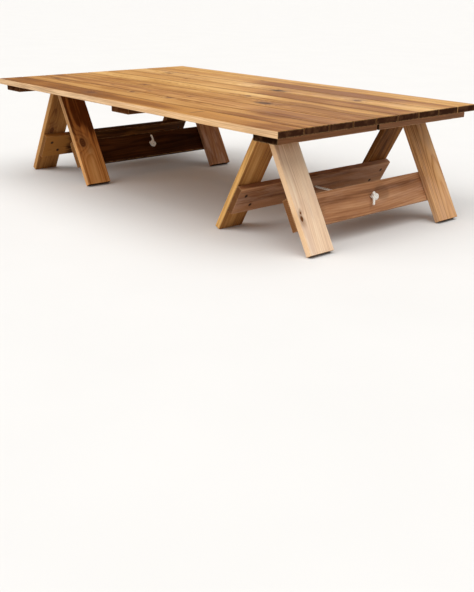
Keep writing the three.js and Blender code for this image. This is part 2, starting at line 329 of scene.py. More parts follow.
class Shader:
    """A material's nodes, built by short calls that return output sockets."""

    def __init__(self, name):
        self.material = bpy.data.materials.new(name)
        self.material.use_nodes = True
        self.tree = self.material.node_tree
        self.tree.nodes.clear()
        self.output = self.tree.nodes.new("ShaderNodeOutputMaterial")
        self.coordinates = self.tree.nodes.new("ShaderNodeTexCoord").outputs

    def feed(self, socket, value):
        if isinstance(value, bpy.types.NodeSocket):
            self.tree.links.new(value, socket)
        else:
            socket.default_value = value

    def node(self, kind, inputs=(), output=0, **settings):
        node = self.tree.nodes.new(kind)
        for key, value in settings.items():
            setattr(node, key, value)
        pairs = inputs.items() if isinstance(inputs, dict) else enumerate(inputs)
        for key, value in pairs:
            self.feed(node.inputs[key], value)
        return node.outputs[output]

    def math(self, operation, *values, clamp=False):
        return self.node("ShaderNodeMath", values, operation=operation, use_clamp=clamp)

    def vector(self, operation, *values, output=0):
        return self.node("ShaderNodeVectorMath", values, output, operation=operation)

    def noise(self, place, scale=1.0, detail=2.0, roughness=0.5, output=0):
        inputs = {"Vector": place, "Scale": scale, "Detail": detail, "Roughness": roughness}
        return self.node("ShaderNodeTexNoise", inputs, output)

    def smooth(self, value, low, high, to_low=0.0, to_high=1.0):
        inputs = {"Value": value, "From Min": low, "From Max": high, "To Min": to_low, "To Max": to_high}
        return self.node("ShaderNodeMapRange", inputs, interpolation_type="SMOOTHSTEP")

    def ramp(self, value, stops, interpolation="LINEAR"):
        node = self.tree.nodes.new("ShaderNodeValToRGB")
        node.color_ramp.interpolation = interpolation
        elements = node.color_ramp.elements
        while len(elements) < len(stops):
            elements.new(0.5)
        for element, (position, colour) in zip(elements, stops):
            element.position = position
            element.color = colour
        self.feed(node.inputs[0], value)
        return node.outputs[0]

    def mix(self, factor, first, second, blend="MIX"):
        node = self.tree.nodes.new("ShaderNodeMix")
        node.data_type = "RGBA"
        node.blend_type = blend
        self.feed(node.inputs[0], factor)
        self.feed(node.inputs[6], first)
        self.feed(node.inputs[7], second)
        return node.outputs[2]

    def bump(self, height, distance, strength):
        inputs = {"Height": height, "Distance": distance, "Strength": strength}
        return self.node("ShaderNodeBump", inputs)

    def sway(self, base, value, amount):
        """The base, moved by how far a value from 0 to 1 is from its middle."""
        return self.math("MULTIPLY_ADD", self.math("SUBTRACT", value, 0.5), amount, base)

    def surface(self, **inputs):
        node = self.tree.nodes.new("ShaderNodeBsdfPrincipled")
        for key, value in inputs.items():
            self.feed(node.inputs[key.replace("_", " ")], value)
        self.tree.links.new(node.outputs[0], self.output.inputs[0])
        return self.material


# ---- Wood ----

WOOD_IOR = 1.2
SEED_STEPS = (1.731, 0.377, 0.593)
WANDER = 0.06  # how far the year rings' middle strays along a board
FINE_WANDER = 0.0016
RING_PROFILE = ((0, 0.25), (0.12, 0), (0.5, 0.12), (0.86, 0.8), (0.94, 1), (1, 0.3))
LATE_TINT = rgb(196, 142, 84)
WEATHERED = rgb(208, 172, 150)
SMOKE = rgb(124, 84, 54)
KNOT_HEART = (rgb(92, 52, 26), rgb(124, 74, 38))
KNOT_RIM = rgb(48, 26, 14)
STAIN = rgb(62, 38, 22)
SIDE_LATE = rgb(150, 100, 60)
END_PORE = rgb(52, 38, 30)
END_BLOTCH = rgb(128, 88, 58)
# Lighter arrises: partly rubbed wear, partly a painted highlight.
RUBBED_WITH_PAINTED_HIGHLIGHT = rgb(214, 172, 122)
JOINT_DIRT = rgb(84, 54, 30)
JOINT_EDGE = (42.6 * MM, 44.2 * MM)  # from a plank's middle: the dirt starts, and is full


@dataclass
class Wood:
    """How one board's wood looks. Lengths are in the board's own coordinates, in mm."""

    deep: tuple
    mid: tuple
    pale: tuple
    seed: int
    pith: tuple = (10, -45)  # across, and out of the face
    ring: float = 4.2  # a year's growth
    knots: tuple = ()  # (along, across, radius)
    marks: tuple = ()  # (along, across, reach along, reach across, strength)
    end: tuple = (58, 32, 18)
    side: tuple = None  # the narrow sides' tone, pale if not given; partly painted light, lighter on lit near sides and darker on the cleats' shaded sides
    side_mix: float = 0.0
    grey: float = 0.0
    streaks: float = 0.4
    tone_and_painted_light: tuple = ()  # (from, to, change of tone): partly tone and partly painted light, as painted shade near the legs' tops, painted light on a rail's end and painted reflection on the planks
    lines: float = 0.5
    figure: float = 1.0
    joint: float = 0.0  # dirt on the narrow sides
    gloss: float = 0.7


def streaks(shader, place, along, across, detail, roughness=0.5, output=0):
    """Noise that is stretched along the grain."""
    stretched = shader.vector("MULTIPLY", place, (along, across, across))
    return shader.noise(stretched, 1.0, detail, roughness, output)


def knot_distance(shader, place, knot):
    """How many radii a point is from a knot, which runs through the board, a little slanted."""
    x, y, radius = knot
    radius *= MM
    slant = shader.vector("SUBTRACT", place, (x * MM, y * MM, 0))
    wobble = shader.noise(place, 1 / (radius * 1.4), 3, 0.6, output=1)
    wobble = shader.vector("SUBTRACT", wobble, (0.5, 0.5, 0.5))
    slant = shader.vector("MULTIPLY_ADD", wobble, (radius * 0.5,) * 3, slant)
    slant = shader.vector("MULTIPLY", slant, (1 / (radius * 1.45), 1 / radius, 0.12 / radius))
    return shader.vector("LENGTH", slant, output=1)


def year_rings(shader, wood, place, seeded, distances):
    """Latewood from 0 to 1 and a value for each year, round a wandering pith and past the knots."""
    reach = WANDER * wood.figure
    wander = streaks(shader, seeded, 1.6, 5, 2, 0.45, output=1)
    wander = shader.vector("MULTIPLY_ADD", wander, (0, reach, reach), (0, -reach / 2, -reach / 2))
    fine = streaks(shader, seeded, 9, 60, 2, output=1)
    wander = shader.vector("MULTIPLY_ADD", fine, (0, FINE_WANDER, FINE_WANDER), wander)
    section = shader.vector("ADD", place, wander)
    section = shader.vector("SUBTRACT", section, (0, wood.pith[0] * MM, wood.pith[1] * MM))
    section = shader.vector("MULTIPLY", section, (0, 1, 1))
    radius = shader.vector("LENGTH", section, output=1)
    for distance, knot in zip(distances, wood.knots):
        fall = shader.math("MULTIPLY", shader.math("POWER", distance, 2.0), -0.22)
        bulge = shader.math("EXPONENT", fall)
        radius = shader.math("MULTIPLY_ADD", bulge, knot[2] * MM * 1.5, radius)
    turns = shader.math("DIVIDE", radius, wood.ring * MM)
    profile = [(at, (value,) * 4) for at, value in RING_PROFILE]
    late = shader.ramp(shader.math("FRACT", turns), profile, "EASE")
    year = shader.noise(shader.node("ShaderNodeCombineXYZ", (turns, wood.seed, 0.0)), 0.7, 1)
    return late, year


def grain_colour(shader, wood, place, seeded, grain):
    """The wood's tone from long streaks and year rings, with warm latewood and grey patches, and changes
    along the board that are partly painted light and shade.
    """
    late, year, narrow, fibre = grain
    broad = streaks(shader, seeded, 2.2, 26, 4, 0.55)
    cloud = streaks(shader, seeded, 5, 9, 2)
    tone = shader.sway(0.5, broad, wood.streaks * 3.0)
    tone = shader.sway(tone, cloud, wood.streaks * 1.2)
    tone = shader.sway(tone, narrow, 0.55)
    tone = shader.sway(tone, year, 0.5)
    tone = shader.sway(tone, fibre, 0.22)
    along = shader.node("ShaderNodeSeparateXYZ", (place,))
    # Changes of tone along the board: partly tone, partly painted shade, painted light and painted
    # reflection.
    for start, end, change in wood.tone_and_painted_light:
        tone = shader.math("ADD", tone, shader.smooth(along, start * MM, end * MM, 0.0, change))
    tone = shader.math("MULTIPLY_ADD", late, -0.3 * wood.lines, tone)
    tones = [(0.08, rgb(*wood.deep)), (0.45, rgb(*wood.mid)), (0.85, rgb(*wood.pale))]
    colour = shader.ramp(tone, tones)
    tint = shader.math("MULTIPLY", late, 0.4 * wood.lines)
    colour = shader.mix(tint, colour, LATE_TINT, "MULTIPLY")
    if wood.grey:
        patch = shader.smooth(streaks(shader, seeded, 6, 30, 4, 0.65), 0.42, 0.68)
        colour = shader.mix(shader.math("MULTIPLY", patch, wood.grey), colour, WEATHERED)
    return colour


def with_knots(shader, seeded, distances, colour):
    """Dark warm cores with rings of their own, a black rim and a halo; and where the cores are."""
    if not distances:
        return colour, 0.0
    nearest = distances[0]
    for distance in distances[1:]:
        nearest = shader.math("MINIMUM", nearest, distance)
    halo = shader.smooth(nearest, 4.2, 0.9)
    core = shader.smooth(nearest, 1.12, 0.78)
    smoke = shader.smooth(streaks(shader, seeded, 12, 45, 4, 0.6), 0.3, 0.62)
    smoke = shader.math("MULTIPLY", smoke, shader.math("MULTIPLY", halo, 0.55))
    colour = shader.mix(smoke, colour, SMOKE)
    waves = shader.math("SINE", shader.math("MULTIPLY", nearest, 17.0))
    heart = shader.mix(shader.math("MULTIPLY_ADD", waves, 0.5, 0.5), *KNOT_HEART)
    rim = shader.smooth(nearest, 1.16, 0.98, 0.0, 0.8)
    rim = shader.math("MULTIPLY", shader.smooth(nearest, 0.78, 0.98), rim)
    heart = shader.mix(rim, heart, KNOT_RIM)
    return shader.mix(core, colour, heart), core


def with_marks(shader, wood, place, colour):
    """Dark oval marks in the face."""
    for x, y, reach_x, reach_y, strength in wood.marks:
        away = shader.vector("SUBTRACT", place, (x * MM, y * MM, 0))
        away = shader.vector("MULTIPLY", away, (1 / (reach_x * MM), 1 / (reach_y * MM), 0))
        away = shader.vector("LENGTH", away, output=1)
        colour = shader.mix(shader.smooth(away, 1.15, 0.65, 0.0, strength), colour, STAIN)
    return colour


def with_sides(shader, wood, sideways, narrow, late, colour):
    """The narrow sides' tone, pale by default, with streaks of the face's colour in it. Partly painted
    light: set lighter where sides catch the light (painted highlight) and darker on the cleats under the
    top (painted shade).
    """
    side = shader.smooth(sideways, 0.6, 0.95, 0.0, wood.side_mix)
    tone = rgb(*(wood.side or wood.pale))
    tone = shader.mix(shader.math("MULTIPLY", late, 0.3), tone, SIDE_LATE)
    tone = shader.mix(shader.smooth(narrow, 0.35, 0.75, 0.45, 0.0), tone, colour)
    return shader.mix(side, colour, tone)


def with_ends(shader, wood, seeded, ended, late, colour):
    """Sawn ends: dark, with rings, pores and blotches; the cleats' end tones are set darker still as
    painted shade.
    """
    tone = rgb(*wood.end)
    darker = tuple(0.62 * value for value in tone[:3]) + (1.0,)
    tone = shader.mix(late, tone, darker)
    pores = shader.noise(seeded, 700.0, 2, 0.6)
    tone = shader.mix(shader.smooth(pores, 0.45, 0.75, 0.0, 0.2), tone, END_PORE)
    blotch = shader.noise(seeded, 45.0, 2, 0.5)
    tone = shader.mix(shader.smooth(blotch, 0.45, 0.65, 0.0, 0.2), tone, END_BLOTCH)
    return shader.mix(ended, colour, tone)


def with_use(shader, wood, place, seeded, narrow, colour):
    """Lighter arrises, partly rubbed wear and partly a painted highlight, and dirt on the narrow sides
    that face a neighbour across a joint.
    """
    # Arris lightening: partly wear, partly a painted highlight along the edges.
    rub_and_highlight = shader.node("ShaderNodeAttribute", output=2, attribute_name="arris")
    arris_breakup = shader.smooth(streaks(shader, seeded, 60, 200, 3, 0.6), 0.3, 0.65)
    rub_and_highlight = shader.math("MULTIPLY", rub_and_highlight, arris_breakup)
    colour = shader.mix(shader.math("MULTIPLY", rub_and_highlight, 0.3), colour, RUBBED_WITH_PAINTED_HIGHLIGHT)
    if wood.joint:
        across = shader.node("ShaderNodeSeparateXYZ", (place,), output=1)
        dirt = shader.smooth(shader.math("ABSOLUTE", across), *JOINT_EDGE, 0.0, wood.joint)
        dirt = shader.math("MULTIPLY", dirt, shader.smooth(narrow, 0.2, 0.6, 0.7, 1.0))
        colour = shader.mix(dirt, colour, JOINT_DIRT)
    return colour


def wood_material(name, wood):
    shader = Shader(name)
    place = shader.coordinates["Object"]
    seeded = shader.vector("ADD", place, tuple(wood.seed * step for step in SEED_STEPS))
    normal = shader.vector("ABSOLUTE", shader.coordinates["Normal"])
    facing = shader.node("ShaderNodeSeparateXYZ", (normal,)).node
    ended = shader.smooth(facing.outputs[0], 0.6, 0.9)

    distances = [knot_distance(shader, place, knot) for knot in wood.knots]
    late, year = year_rings(shader, wood, place, seeded, distances)
    narrow = streaks(shader, seeded, 7, 150, 3, 0.6)
    fibre = streaks(shader, seeded, 45, 1300, 2, 0.6)
    colour = grain_colour(shader, wood, place, seeded, (late, year, narrow, fibre))
    colour, core = with_knots(shader, seeded, distances, colour)
    colour = with_marks(shader, wood, place, colour)
    colour = with_sides(shader, wood, facing.outputs[1], narrow, late, colour)
    colour = with_ends(shader, wood, seeded, ended, late, colour)
    colour = with_use(shader, wood, place, seeded, narrow, colour)

    # Oil leaves a soft sheen, rougher on latewood and ends, and latewood stands a little lower.
    rough = shader.math("MULTIPLY_ADD", narrow, 0.22, 0.36)
    rough = shader.math("MULTIPLY_ADD", late, 0.07, rough)
    rough = shader.math("MULTIPLY_ADD", ended, 0.25, rough, clamp=True)
    relief = shader.math("MULTIPLY_ADD", late, -0.35, shader.math("MULTIPLY", fibre, 0.5))
    relief = shader.math("MULTIPLY_ADD", core, 0.3, relief)
    relief = shader.math("MULTIPLY_ADD", narrow, 0.4, relief)
    return shader.surface(
        Base_Color=colour,
        Roughness=rough,
        Normal=shader.bump(relief, 0.00035, 0.7),
        IOR=WOOD_IOR,
        Specular_IOR_Level=shader.math("MULTIPLY_ADD", ended, -0.5 * wood.gloss, 0.6 * wood.gloss),
    )


# ---- Board looks ----
# Deep, mid and pale tones, and then what is particular to each board.

HONEY = ((138, 84, 30), (188, 134, 68), (218, 172, 108))
GOLD = ((150, 98, 40), (200, 148, 78), (228, 186, 122))
ROSE = ((132, 80, 36), (182, 127, 66), (212, 164, 102))
TAN = ((100, 56, 14), (150, 94, 34), (192, 136, 66))
LEG_PALE = ((206, 164, 128), (244, 212, 178), (253, 234, 208))
LEG_LIGHT = ((140, 92, 52), (206, 152, 98), (230, 184, 132))
LEG_TAN = ((108, 64, 28), (172, 118, 62), (206, 156, 94))
LEG_WARM = ((100, 50, 16), (200, 130, 66), (228, 168, 102))
RUSSET_PALE = ((112, 70, 42), (172, 120, 82), (204, 154, 112))
RUSSET = ((104, 62, 36), (156, 104, 66), (190, 138, 94))
# The brown, shaded, split brown and umber tones are painted shade: darker tones of the same wood, for
# boards that lie under the top.
BROWN_PAINTED_SHADE = ((58, 32, 12), (102, 62, 32), (140, 94, 56))
SHADED = ((70, 42, 18), (116, 72, 34), (176, 120, 62))
SPLIT_BROWN_PAINTED_SHADE = ((52, 28, 10), (84, 48, 22), (176, 120, 60))
PINK_BROWN = ((120, 76, 48), (170, 118, 80), (202, 152, 110))
UMBER_PAINTED_SHADE = ((36, 18, 8), (64, 34, 16), (96, 58, 30))

LEG_END = (104, 66, 36)
LEG_END_DARK = (70, 42, 22)
# The right cleat's ends: dark end grain, darkened further as painted shade under the top.
CLEAT_END_PAINTED_SHADE = (34, 14, 2)
RAIL_END = (128, 84, 50)
RAIL_END_DARK = (128, 86, 48)
DIM = 0.2  # gloss of boards that lie deep in the shade
DIRTY = 0.8

# Along the planks the changes of tone are partly tone and partly painted reflection: the lighter and
# darker stretches across planks 1 to 6 and the lighter right ends of planks 7 to 9. Plank 1's pale side
# tone is partly a painted highlight on the near edge.
PLANK_LOOKS = [
    Wood(*TAN, seed=1, pith=(-60, -40), side=(244, 207, 162), side_mix=0.92,
         tone_and_painted_light=((80, 300, 0.3), (560, 650, -0.2)),
         knots=((-195, 6, 13),), marks=((341, 6, 5, 32, 0.65),)),
    Wood(*HONEY, seed=2, pith=(34, -30), tone_and_painted_light=((350, 520, -0.3),), joint=DIRTY,
         knots=((-596, 28, 9), (-127, 26, 9), (51, 38, 9))),
    Wood(*ROSE, seed=3, pith=(-16, -52), tone_and_painted_light=((330, 440, -0.2),), joint=DIRTY, figure=0.5,
         knots=((-325, -7, 4), (-111, -9, 3.5), (73, 8, 4.5))),
    Wood(*HONEY, seed=4, pith=(8, -38), tone_and_painted_light=((300, 420, -0.15),), joint=DIRTY,
         knots=((-267, -7, 7), (322, 4, 15)), marks=((316, 0, 42, 14, 0.6),)),
    Wood(*GOLD, seed=5, pith=(-14, -30), tone_and_painted_light=((160, 280, -0.2),), joint=DIRTY, figure=2.2,
         knots=((167, -16, 9),)),
    Wood(*HONEY, seed=6, pith=(56, -34), tone_and_painted_light=((60, 180, -0.28),), joint=DIRTY, figure=0.5,
         knots=((-325, 38, 5),)),
    Wood(*GOLD, seed=7, pith=(4, -26), joint=DIRTY, figure=2.0, grey=0.2,
         tone_and_painted_light=((-40, 80, -0.15), (540, 680, 0.25)), marks=((126, -28, 38, 13, 0.85),),
         knots=((119, -26, 14), (-519, 10, 9), (447, -5, 11))),
    Wood(*HONEY, seed=8, pith=(-50, -36), joint=DIRTY, grey=0.1,
         tone_and_painted_light=((-160, 0, -0.5), (440, 620, 0.5)), knots=((-115, 34, 7),)),
    Wood(*GOLD, seed=9, pith=(50, -48), tone_and_painted_light=((-100, 80, -0.1), (380, 600, 0.15)), figure=1.6,
         side=(214, 170, 118), side_mix=0.8),
]
# The cleats' side and end tones are partly painted light: lighter on the right cleat's outward side,
# where light falls, and dark on the middle and left cleats' sides and ends as painted shade under the
# top.
CLEAT_LOOKS = {
    "cleat_right_near": Wood(*BROWN_PAINTED_SHADE, seed=11, end=CLEAT_END_PAINTED_SHADE, side=(150, 102, 66), side_mix=0.6),
    "cleat_right_far": Wood(*BROWN_PAINTED_SHADE, seed=12, end=CLEAT_END_PAINTED_SHADE, side=(168, 120, 84), side_mix=0.6),
    "cleat_middle": Wood(*BROWN_PAINTED_SHADE, gloss=DIM, seed=13, end=(84, 46, 20), side=(84, 50, 24),
                         side_mix=0.7),
    "cleat_left": Wood(*BROWN_PAINTED_SHADE, gloss=DIM, seed=14, end=(60, 28, 8), side=(60, 32, 14),
                       side_mix=0.7),
}
# Along the legs the changes of tone are painted shade, darker towards the top under the table and
# lighter towards the foot; the left outer rail's near end is lighter, painted light. The near legs' side
# tones are partly a painted highlight.
FRAME_LOOKS = {
    "right_outer_leg_near": Wood(
        *LEG_PALE, seed=21, pith=(-60, -30), end=LEG_END, side=(240, 196, 142), side_mix=0.8,
        grey=0.5, lines=0.3, streaks=0.22, tone_and_painted_light=((-90, -178, -0.85),),
        knots=((61, -32, 3), (77, -34, 5.5)),
    ),
    "right_outer_leg_far": Wood(
        *LEG_LIGHT, seed=22, pith=(20, -40), ring=5.0, end=LEG_END, grey=0.3, lines=0.7,
        tone_and_painted_light=((40, 120, 0.2), (-60, -150, -0.25)),
    ),
    "right_inner_leg_near": Wood(
        *LEG_TAN, seed=23, pith=(-30, -30), end=LEG_END, side=(240, 188, 112), side_mix=0.9,
    ),
    "right_inner_leg_far": Wood(*SHADED, gloss=DIM, seed=24, end=LEG_END),
    "left_outer_leg_near": Wood(
        *LEG_TAN, seed=25, pith=(26, -36), end=LEG_END, side=(206, 154, 92), side_mix=0.7,
        knots=((0, 15, 9),),
    ),
    "left_outer_leg_far": Wood(*BROWN_PAINTED_SHADE, gloss=DIM, seed=26, end=LEG_END),
    "left_inner_leg_near": Wood(
        *LEG_WARM, seed=27, pith=(-10, -34), ring=5.2, end=LEG_END_DARK, side=(236, 182, 118),
        side_mix=0.8, knots=((27, -18, 12),), tone_and_painted_light=((20, -60, -0.45), (20, 60, 0.15)),
    ),
    "left_inner_leg_far": Wood(*RUSSET, seed=28, grey=0.6, end=LEG_END_DARK, lines=0.3),
    "right_outer_rail": Wood(
        *PINK_BROWN, seed=31, pith=(-70, -40), ring=5.0, end=RAIL_END, grey=0.15, figure=0.7,
        lines=0.35, knots=((-225, -2, 6),), marks=((46, 8, 34, 26, 0.3),),
    ),
    "right_inner_rail": Wood(
        *RUSSET_PALE, seed=32, pith=(-54, -30), grey=0.35, figure=0.7, end=(112, 72, 42),
    ),
    "left_outer_rail": Wood(
        *SPLIT_BROWN_PAINTED_SHADE, gloss=DIM, seed=33, pith=(18, -40), end=RAIL_END_DARK,
        knots=((-120, 10, 8),), tone_and_painted_light=((-200, -250, 0.6),),
    ),
    "left_inner_rail": Wood(
        *UMBER_PAINTED_SHADE, gloss=DIM, seed=34, pith=(8, -46), ring=5.0, figure=0.7, end=RAIL_END_DARK,
    ),
}
SCREW_STAIN = (6.5, 6.5, 0.8)  # round a rail screw: reach along, reach across, strength


# ---- Screws ----

# In mm. Outlines are (along, radius) from a screw's head.

HEAD_RADIUS = 4.0
HEAD_DEPTH = 2.6
HEAD_OUTLINE = ((0, 0), (0, 2.6), (0.06, 3.3), (0.25, 3.85), (0.5, HEAD_RADIUS), (0.8, 3.9))
SHANK_RADIUS = 2.0
THREAD_FROM = 7.0
THREAD_TO = 27.0
THREAD_PITCH = 1.9
THREAD_OUTLINE = ((0.75, 1.45), (1.25, 1.5), (1.45, SHANK_RADIUS), (1.6, 1.5))
TIP_OUTLINE = ((30, 1.1), (33, 0))
SCREW_SIDES = 28
RECESS = ((-0.5, 5.0, 1.25), (1.7, 2.6, 0.8))  # along, a blade's width and thickness there
SHARP_SCREW = 35
HOLE_SLACK = 0.4
SINK_START = -2.0
SINK_RIM = 0.5
SINK_CONE = HEAD_DEPTH + 0.3
SINK_DEPTH = 6.0
SINK_SIDES = 24


def screw_outline():
    points = [*HEAD_OUTLINE, (HEAD_DEPTH, SHANK_RADIUS), (THREAD_FROM, SHANK_RADIUS)]
    start = THREAD_FROM
    while start < THREAD_TO:
        points += [(start + along, radius) for along, radius in THREAD_OUTLINE]
        start += THREAD_PITCH
    return [*points, *TIP_OUTLINE]


def screw_mesh():
    """A countersunk wood screw along X, its head's face at 0, with a cross recess."""
    screw = add_object("screw", turned("screw", screw_outline(), SCREW_SIDES))
    rings = []
    for along, width, thickness in RECESS:
        rings.append([(along, y * width / 2, z * thickness / 2) for y, z in SQUARE])
    blades = []
    for turn in (0, math.pi / 2):
        blade = ring_mesh("blade", np.array(rings) * MM)
        blade.transform(Matrix.Rotation(turn, 4, "X"))
        face_outwards(blade)
        blades.append(blade)
    carve(screw, blades)
    mesh = finish_mesh(screw.data, SHARP_SCREW)
    bpy.data.objects.remove(screw)
    return mesh


def sink_mesh(matrix, scale=1.0):
    """What a countersunk screw takes out of the surface it is driven into."""
    head = HEAD_RADIUS + HOLE_SLACK
    shank = SHANK_RADIUS + HOLE_SLACK
    points = [(SINK_START, 0), (SINK_START, head), (SINK_RIM, head)]
    points += [(SINK_CONE, shank), (SINK_DEPTH, shank), (SINK_DEPTH, 0)]
    return turned("sink", [(a * scale, r * scale) for a, r in points], SINK_SIDES, matrix)


def aimed(place, direction, spin=0.0):
    """Takes the origin to place and X to direction, after a turn by spin round X."""
    aim = direction.to_track_quat("X", "Z").to_matrix().to_4x4()
    return Matrix.Translation(place) @ aim @ Matrix.Rotation(spin, 4, "X")


# ---- Steel and rope fibre ----

RUST = rgb(96, 58, 34)
FIBRE = (rgb(248, 243, 232), rgb(255, 253, 248))
FIBRE_SOIL = rgb(206, 188, 160)
# Darker fibre down the grooves between strands: painted shade.
GROOVE_PAINTED_SHADE = rgb(176, 156, 126)


def steel_material(name, colour, dark, roughness, rust):
    """Blotched steel with spots of rust."""
    shader = Shader(name)
    place = shader.coordinates["Object"]
    blot = shader.noise(place, 420.0, 4, 0.6)
    fine = shader.noise(place, 2600.0, 2, 0.6)
    tint = shader.mix(shader.smooth(blot, 0.4, 0.7), rgb(*colour), rgb(*dark))
    spots = shader.smooth(shader.noise(place, 900.0, 5, 0.7), 0.62, 0.74, 0.0, rust)
    tint = shader.mix(spots, tint, RUST)
    rough = shader.math("MULTIPLY_ADD", blot, 0.3, roughness, clamp=True)
    metal = shader.math("MULTIPLY_ADD", spots, -0.9, 1.0, clamp=True)
    return shader.surface(
        Base_Color=tint,
        Metallic=metal,
        Roughness=rough,
        Normal=shader.bump(fine, 0.00004, 0.5),
    )


def rope_material():
    shader = Shader("rope_fibre")
    place = shader.coordinates["Object"]
    fuzz = shader.noise(place, 2400.0, 3, 0.65)
    soil = shader.noise(place, 60.0, 3, 0.6)
    groove = shader.node("ShaderNodeAttribute", output=2, attribute_name="groove")
    colour = shader.mix(shader.smooth(fuzz, 0.3, 0.7), *FIBRE)
    colour = shader.mix(shader.smooth(soil, 0.45, 0.75, 0.0, 0.2), colour, FIBRE_SOIL)
    # Painted shade in the grooves between strands.
    colour = shader.mix(shader.smooth(groove, 0.3, 1.0, 0.0, 0.5), colour, GROOVE_PAINTED_SHADE)
    return shader.surface(
        Base_Color=colour,
        Roughness=0.86,
        Normal=shader.bump(fuzz, 0.0002, 0.6),
        Sheen_Weight=0.25,
        Sheen_Roughness=0.5,
        Specular_IOR_Level=0.2,
    )


HINGE_STEEL = steel_material("hinge_steel", (178, 180, 182), (128, 130, 134), 0.28, 0.5)
SCREW_STEEL = steel_material("screw_steel", (78, 58, 42), (40, 28, 20), 0.45, 0.8)
ROPE_FIBRE = rope_material()
SCREW_MESH = screw_mesh()
SCREW_MESH.materials.append(SCREW_STEEL)


# ---- Planks, cleats, legs and rails ----

CLEAT_BREAK = (-22.5 * MM, -13.5 * MM)
CLEAT_SCREW_STAGGER = 24 * MM  # to either side of a cleat's middle line
CLEAT_SCREW_ACROSS = 0.24  # of a plank's width, to either side of its middle
CLEAT_SCREW_CLEAR = 8 * MM  # from a cleat's end
CLEAT_SCREW_SPIN = 0.7
RAIL_SCREW_SPIN = 0.6
ROPE_HOLE_OUTLINE = ((-12, 0), (-12, 5.6), (-9.6, 5.6), (-8.9, 4.65), (-8, 4.3))
ROPE_HOLE_SIDES = 28


def add_screw(name, matrix, body, node=None, scale=1.0):
    screw = add_object(name, SCREW_MESH, matrix @ Matrix.Diagonal((scale, scale, scale, 1)))
    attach(screw, body)
    if node:
        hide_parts(node)


def add_board(name, matrix, size, wood, body, node, sinks=()):
    """A board, less its sinks: pairs of a place and the function that makes the cutter there."""
    piece = add_object(name, board_mesh(name, size, wood.seed), matrix)
    if sinks:
        inverse = matrix.inverted()
        carve(piece, [make(inverse @ place) for place, make in sinks])
        finish_mesh(piece.data, SHARP_BOARD)
        piece.data.name = name
    piece.data.materials.clear()
    piece.data.materials.append(wood_material(name, wood))
    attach(piece, body)
    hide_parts(node)


def add_planks():
    for number, wood in enumerate(PLANK_LOOKS, 1):
        node = f"plank_{number}"
        matrix, size = measured(node_points(node), X_AXIS, Z_AXIS)
        add_board(node + "_board", matrix, size, wood, "top", node)


def cleat_screw_places(low, high):
    """Two screws up into each plank, one into the outermost, staggered across the cleat."""
    places = []
    for number in range(1, len(PLANK_LOOKS) + 1):
        plank_low, plank_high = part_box(f"plank_{number}")
        middle = (plank_low.y + plank_high.y) / 2
        width = plank_high.y - plank_low.y
        single = number in (1, len(PLANK_LOOKS))
        offsets = (0.0,) if single else (-CLEAT_SCREW_ACROSS, CLEAT_SCREW_ACROSS)
        for index, offset in enumerate(offsets):
            side = 1 if (index + number) % 2 else -1
            x = (low.x + high.x) / 2 + side * CLEAT_SCREW_STAGGER
            places.append(Vector((x, middle + offset * width, low.z)))
    return places


def cleat_lengths(node, low, high):
    """A cleat's lengths, as name, start and end in Y. The right cleat is in two."""
    if node == "cleat_right":
        return [(node + "_near", low.y, CLEAT_BREAK[0]), (node + "_far", CLEAT_BREAK[1], high.y)]
    return [(node, low.y, high.y)]


def add_cleats():
    for node in ("cleat_right", "cleat_middle", "cleat_left"):
        low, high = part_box(node)
        screws = cleat_screw_places(low, high)
        for name, start, end in cleat_lengths(node, low, high):
            points = node_points(node)
            points[:, 1] = np.clip(points[:, 1], start, end)
            matrix, size = measured(points, Y_AXIS, -Z_AXIS)
            clear = CLEAT_SCREW_CLEAR
            inside = [p for p in screws if start + clear < p.y < end - clear]
            sinks = [(aimed(p, Z_AXIS), sink_mesh) for p in inside]
            wood = CLEAT_LOOKS[name]
            add_board(name + "_board", matrix, size, wood, "top", node, sinks)
            for number, place in enumerate(inside, 1):
                screw = aimed(place, Z_AXIS, CLEAT_SCREW_SPIN * number)
                add_screw(f"{name}_screw_{number}", screw, "top")


def rope_hole_mesh(matrix):
    """A rope hole through a rail, its mouths rounded over by the rope."""
    points = [*ROPE_HOLE_OUTLINE, *((-a, r) for a, r in reversed(ROPE_HOLE_OUTLINE))]
    return turned("rope_hole", points, ROPE_HOLE_SIDES, matrix)


def rail_screws(lean):
    """The nodes and matrices of the screws that hold a frame's rail to its legs."""
    found = []
    for side in SIDES:
        for row in ("upper", "lower"):
            node = f"{lean.label}_screw_{side}_{row}"
            matrix, size = measured(node_points(node), lean.out, lean.down)
            head = matrix @ Vector((-size.x / 2, 0, 0))
            spin = RAIL_SCREW_SPIN * len(found) + lean.ridge.x
            found.append((node, aimed(head, lean.out, spin)))
    return found


def add_frame_boards(lean):
    for side in SIDES:
        node = f"{lean.label}_leg_{side}"
        matrix, size = measured(node_points(node), lean.down, lean.out)
        add_board(node + "_board", matrix, size, FRAME_LOOKS[node], lean.body, node)
    node = f"{lean.label}_rail"
    matrix, size = measured(node_points(node), Y_AXIS, lean.out)
    screws = rail_screws(lean)
    sinks = [(screw, sink_mesh) for _, screw in screws]
    sinks.append((aimed(matrix.translation, lean.out), rope_hole_mesh))
    inverse = matrix.inverted()
    spots = [inverse @ screw.translation for _, screw in screws]
    wood = FRAME_LOOKS[node]
    wood.marks += tuple((spot.x / MM, spot.y / MM, *SCREW_STAIN) for spot in spots)
    add_board(node + "_board", matrix, size, wood, lean.body, node, sinks)
    for name, screw in screws:
        add_screw(name + "_driven", screw, lean.body, name)


# ---- Hinges ----

# In mm.

